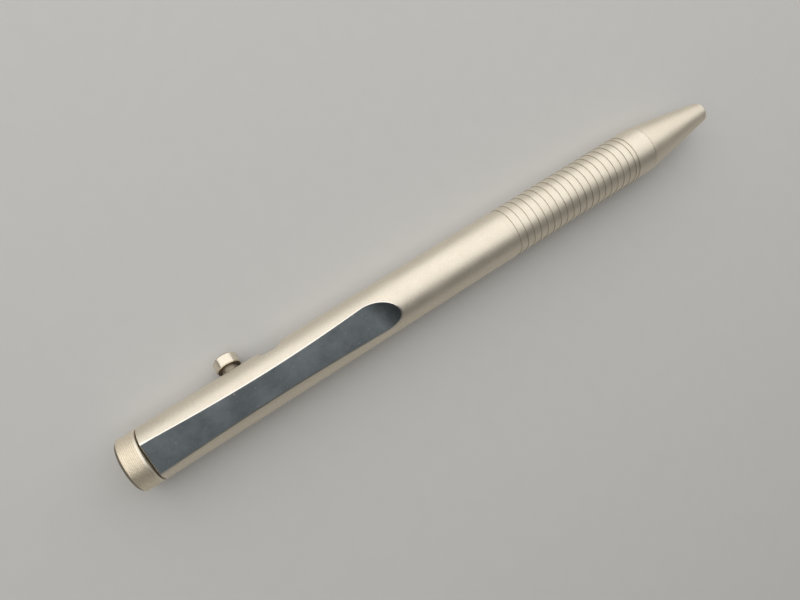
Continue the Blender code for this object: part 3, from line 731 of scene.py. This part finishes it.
def coil_tree():
    """Geometry Nodes that wind a wire about X, with closed turns at both ends."""
    sizes = ("Rear", "Length", "Coil Radius", "Wire Radius", "Turns", "Dead Turns", "Dead Pitch")
    sockets = {
        **{size: "Float" for size in sizes}, "Points": "Int", "Wire Sides": "Int", "Material": "Material",
    }
    tree, given = start_tree("wound coil", sockets)
    line = add_node(tree, "GeometryNodeMeshLine", {"Count": given["Points"]})
    index = add_node(tree, "GeometryNodeInputIndex")
    last_index = add_node(tree, MATH, {0: given["Points"], 1: 1.0}, operation="SUBTRACT")
    share = add_node(tree, MATH, {0: index, 1: last_index}, operation="DIVIDE")
    turn = add_node(tree, MATH, {0: share, 1: given["Turns"]}, operation="MULTIPLY")

    dead_turns = given["Dead Turns"]
    live_end = add_node(tree, MATH, {0: given["Turns"], 1: dead_turns}, operation="SUBTRACT")
    live_turns = add_node(tree, MATH, {0: live_end, 1: dead_turns}, operation="SUBTRACT")
    into_live = add_node(tree, MATH, {0: turn, 1: dead_turns}, operation="SUBTRACT")
    into_last = add_node(tree, MATH, {0: turn, 1: live_end}, operation="SUBTRACT")
    live = add_node(tree, MATH, {0: into_live, 1: live_turns}, operation="DIVIDE", use_clamp=True)
    first = add_node(tree, MATH, {0: turn, 1: dead_turns}, operation="DIVIDE", use_clamp=True)
    last = add_node(tree, MATH, {0: into_last, 1: dead_turns}, operation="DIVIDE", use_clamp=True)
    dead = add_node(tree, MATH, {0: first, 1: last}, operation="ADD")

    wire = add_node(tree, MATH, {0: given["Wire Radius"], 1: 2.0}, operation="MULTIPLY")
    dead_pitch = add_node(tree, MATH, {0: wire, 1: given["Dead Pitch"]}, operation="MULTIPLY")
    dead_rise = add_node(tree, MATH, {0: dead_turns, 1: dead_pitch}, operation="MULTIPLY")
    both_dead = add_node(tree, MATH, {0: dead_rise, 1: 2.0}, operation="MULTIPLY")
    between_ends = add_node(tree, MATH, {0: given["Length"], 1: wire}, operation="SUBTRACT")
    live_length = add_node(tree, MATH, {0: between_ends, 1: both_dead}, operation="SUBTRACT")
    x = add_node(tree, MATH, {0: given["Rear"], 1: given["Wire Radius"]}, operation="ADD")
    for done, rise in ((live, live_length), (dead, dead_rise)):
        part = add_node(tree, MATH, {0: done, 1: rise}, operation="MULTIPLY")
        x = add_node(tree, MATH, {0: x, 1: part}, operation="ADD")

    angle = add_node(tree, MATH, {0: turn, 1: math.tau}, operation="MULTIPLY")
    place = {0: x}
    for axis, wave in ((1, "COSINE"), (2, "SINE")):
        unit = add_node(tree, MATH, {0: angle}, operation=wave)
        place[axis] = add_node(tree, MATH, {0: unit, 1: given["Coil Radius"]}, operation="MULTIPLY")
    point = add_node(tree, "ShaderNodeCombineXYZ", place)
    path = add_node(tree, "GeometryNodeSetPosition", {"Geometry": line, "Position": point})
    curve = add_node(tree, "GeometryNodeMeshToCurve", {0: path})
    round_wire = {"Resolution": given["Wire Sides"], "Radius": given["Wire Radius"]}
    section = add_node(tree, "GeometryNodeCurvePrimitiveCircle", round_wire)
    swept = {"Curve": curve, "Profile Curve": section, "Fill Caps": True}
    wound = add_node(tree, "GeometryNodeCurveToMesh", swept)
    end_tree(tree, wound, given["Material"])
    return tree


LINE_STRETCH = 0.05


def machined_metal(name, light, dark, roughness, line):
    """Plain machined or drawn metal: cool and glossy, with fine lines as a lathe or a die leaves them.

    The lines of a fine cut lie about 0.05 mm apart. They are drawn coarser, to show at all, and long
    round the pen.
    """
    material, tree, shader, where = start_material(name, 1.0)
    stretch = (1.0, LINE_STRETCH, LINE_STRETCH)
    squeezed = add_node(tree, "ShaderNodeMapping", {"Vector": where, "Scale": stretch})
    lines = add_node(tree, "ShaderNodeTexNoise", {"Vector": squeezed, "Scale": 1 / line, "Detail": 2.0})
    tone = add_node(
        tree, "ShaderNodeMix", {0: lines, 6: linear(dark), 7: linear(light)}, data_type="RGBA"
    )
    tree.links.new(tone.outputs[2], shader.inputs["Base Color"])
    bump = add_node(tree, "ShaderNodeBump", {"Height": lines, "Strength": 0.25, "Distance": BUMP_HEIGHT})
    tree.links.new(bump.outputs[0], shader.inputs["Normal"])
    shader.inputs["Roughness"].default_value = roughness
    return material


# Drawn wire is grey and smooth, so that each turn shows one thin bright streak.
TURNED_LINE = 0.2 * MM
spring_steel = machined_metal("drawn spring steel", "#c9cacb", "#b2b4b6", 0.25, TURNED_LINE)
spring = bpy.data.objects.new("return_spring_wound", bpy.data.meshes.new("return_spring_wound"))
bpy.context.scene.collection.objects.link(spring)
coil = {
    "Rear": station_of(spring_low[0]), "Length": spring_high[0] - spring_low[0],
    "Coil Radius": COIL_RADIUS, "Wire Radius": WIRE_RADIUS, "Turns": float(COIL_TURNS),
    "Dead Turns": DEAD_TURNS, "Dead Pitch": DEAD_PITCH, "Points": POINTS_PER_TURN * COIL_TURNS,
    "Wire Sides": WIRE_SIDES, "Material": spring_steel,
}
add_nodes_modifier(spring, coil_tree(), coil)
finish_piece(spring, "spring", "return_spring", WIRE_CRISP)
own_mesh(spring)

# Bolt carrier and refill: the turned steel plunger in the bore, and a common metal ballpoint refill
# with its plug, grease, ink, brass nozzle, steel point and carbide ball. Their CAD shapes are kept.
RUBBER_MOTTLE = 0.4 * MM
FILL_MOTTLE = 0.5 * MM


def dress(node, material):
    """Gives a CAD node that keeps its shape its real material."""
    for material_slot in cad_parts[node].material_slots:
        material_slot.material = material


def smooth_stuff(name, light, dark, roughness, mottle):
    """A plain non metal, such as rubber, plastic, grease or ink, with a slight mottle."""
    material, tree, shader, where = start_material(name, 0.0)
    spots = add_node(tree, "ShaderNodeTexNoise", {"Vector": where, "Scale": 1 / mottle, "Detail": 2.0})
    tone = add_node(
        tree, "ShaderNodeMix", {0: spots, 6: linear(dark), 7: linear(light)}, data_type="RGBA"
    )
    tree.links.new(tone.outputs[2], shader.inputs["Base Color"])
    shader.inputs["Roughness"].default_value = roughness
    return material


# The metals go from cool steel and bright plating to yellow brass, pale nickel silver for the point
# and dark, mirror smooth carbide for the ball.
dress("bolt_carrier", machined_metal("turned stainless steel", "#c4c5c6", "#a9abad", 0.3, TURNED_LINE))
dress("refill_tube", machined_metal("nickel plated brass tube", "#d0d0cf", "#bdbdbc", 0.22, TURNED_LINE))
dress("refill_nozzle", machined_metal("turned brass", "#e0c084", "#caa765", 0.28, TURNED_LINE))
dress("refill_point", machined_metal("turned nickel silver", "#cfcdc8", "#b9b7b2", 0.22, TURNED_LINE))
dress("refill_ball", machined_metal("tungsten carbide", "#9a9a9d", "#88888b", 0.12, TURNED_LINE))

# The rubber is matt and black, the moulded plug has a low shine, and grease and ink shine as wet.
dress("rear_cap_o_ring", smooth_stuff("nitrile rubber", "#1c1c1d", "#121213", 0.6, RUBBER_MOTTLE))
dress("refill_end_plug", smooth_stuff("moulded polypropylene", "#3c3d40", "#2f3033", 0.4, FILL_MOTTLE))
dress("refill_grease", smooth_stuff("follower grease", "#e0d9b8", "#d3cba6", 0.2, FILL_MOTTLE))
dress("refill_ink", smooth_stuff("ballpoint ink", "#0c0d1c", "#070812", 0.15, FILL_MOTTLE))

# Table: a plain pale sheet of matt card under the pen, six metres wide, far wider than the picture.
# Card scatters light evenly, so that it has no shine and the pen's shadow on it is soft.
HALF_TABLE = 3.0
CARD_MOTTLE = 4 * MM
table_mesh = bpy.data.meshes.new("table")
corners = [(HALF_TABLE * x, HALF_TABLE * y, 0) for x, y in ((-1, -1), (1, -1), (1, 1), (-1, 1))]
table_mesh.from_pydata(corners, [], [(0, 1, 2, 3)])
table = bpy.data.objects.new("table", table_mesh)
bpy.context.scene.collection.objects.link(table)
card = smooth_stuff("matt card", "#c1bfbb", "#bebcb8", 0.9, CARD_MOTTLE)
table_mesh.materials.append(card)

# Far from the pen the card fades into a pale backdrop. Only the eye and polished surfaces see it, so it
# puts no light on the pen.
BACKDROP_PALE = 0.45
BACKDROP_WHITE = linear("#fdfbf7")
FADE_START = 0.16
FADE_END = 0.5


def seen_rays(tree):
    """1 for rays from the eye, or from it by way of a glossy or clear surface, and 0 for all others."""
    rays = add_node(tree, "ShaderNodeLightPath").outputs
    seen = rays["Is Camera Ray"]
    for kind in ("Is Glossy Ray", "Is Transmission Ray"):
        seen = add_node(tree, MATH, {0: seen, 1: rays[kind]}, operation="MAXIMUM")
    return seen


tree = card.node_tree
here = add_node(tree, "ShaderNodeTexCoord").outputs["Object"]
away = add_node(tree, "ShaderNodeVectorMath", {0: here}, operation="LENGTH").outputs["Value"]
fade = add_node(
    tree, "ShaderNodeMapRange", {"Value": away, "From Min": FADE_START, "From Max": FADE_END},
    interpolation_type="SMOOTHSTEP",
)
share = add_node(tree, MATH, {0: fade, 1: seen_rays(tree)}, operation="MULTIPLY")
pale = add_node(tree, "ShaderNodeEmission", {"Color": BACKDROP_WHITE, "Strength": BACKDROP_PALE})
faded = add_node(tree, "ShaderNodeMixShader", {0: share, 1: tree.nodes["Principled BSDF"], 2: pale})
tree.links.new(faded.outputs[0], tree.nodes["Material Output"].inputs["Surface"])

# Light: one wide softbox over the pen, in metres and watts, leaning towards the knob's side. It gives
# the soft band along the barrel and leaves the facet in the shade.
SOFTBOX_LENGTH = 1.7
SOFTBOX_WIDTH = 0.895
SOFTBOX_PLACE = (0.3, 0.265, 0.255)
SOFTBOX_LEAN = math.radians(-13.6)
SOFTBOX_POWER = 5.8
softbox_light = bpy.data.lights.new("softbox", "AREA")
softbox_light.shape = "RECTANGLE"
softbox_light.size = SOFTBOX_LENGTH
softbox_light.size_y = SOFTBOX_WIDTH
softbox_light.energy = SOFTBOX_POWER
softbox = bpy.data.objects.new("softbox", softbox_light)
softbox.location = SOFTBOX_PLACE
softbox.rotation_euler = (SOFTBOX_LEAN, 0.0, 0.0)
softbox.visible_camera = False
bpy.context.scene.collection.objects.link(softbox)

# The room beyond is dim. Seen by the eye or in the metal it starts at the backdrop's tone and darkens
# upwards, so that the table's far edge doesn't show.
ROOM_DIM = 0.07
BACKDROP_TOP = math.sin(math.radians(19))
world = bpy.data.worlds.new("dim room")
world.use_nodes = True
tree = world.node_tree
direction = add_node(tree, "ShaderNodeTexCoord").outputs["Generated"]
rise = add_node(tree, "ShaderNodeSeparateXYZ", {0: direction}).outputs[2]
glow = add_node(
    tree, "ShaderNodeMapRange",
    {"Value": rise, "From Min": 0.0, "From Max": BACKDROP_TOP, "To Min": BACKDROP_PALE, "To Max": ROOM_DIM},
    interpolation_type="SMOOTHSTEP",
)
strength = add_node(tree, "ShaderNodeMix", {0: seen_rays(tree), 2: ROOM_DIM, 3: glow}, data_type="FLOAT")
sky = tree.nodes["Background"]
sky.inputs["Color"].default_value = BACKDROP_WHITE
tree.links.new(strength.outputs[0], sky.inputs["Strength"])
bpy.context.scene.world = world

# Camera: a wide lens close over the pen's rear half, as the photograph was taken. Its place and its
# three directions were fitted to the barrel's outline.
CAMERA_PLACE = Vector((-0.03902, -0.00254, 0.12018))
CAMERA_RIGHT = Vector((0.82654, -0.53058, 0.18794))
CAMERA_UP = Vector((0.51614, 0.84763, 0.12303))
CAMERA_BACK = Vector((-0.22458, -0.00469, 0.97445))
SENSOR_WIDTH = 36.0
FOCAL_LENGTH = 27.0
NEAREST_SEEN = 1.0 * MM
camera_data = bpy.data.cameras.new("camera")
camera_data.sensor_width = SENSOR_WIDTH
camera_data.lens = FOCAL_LENGTH
camera_data.clip_start = NEAREST_SEEN
camera = bpy.data.objects.new("camera", camera_data)
turned = Matrix((CAMERA_RIGHT, CAMERA_UP, CAMERA_BACK)).transposed()
camera.matrix_world = Matrix.Translation(CAMERA_PLACE) @ turned.to_4x4()
bpy.context.scene.collection.objects.link(camera)
bpy.context.scene.camera = camera
bpy.context.scene.view_settings.view_transform = "Standard"
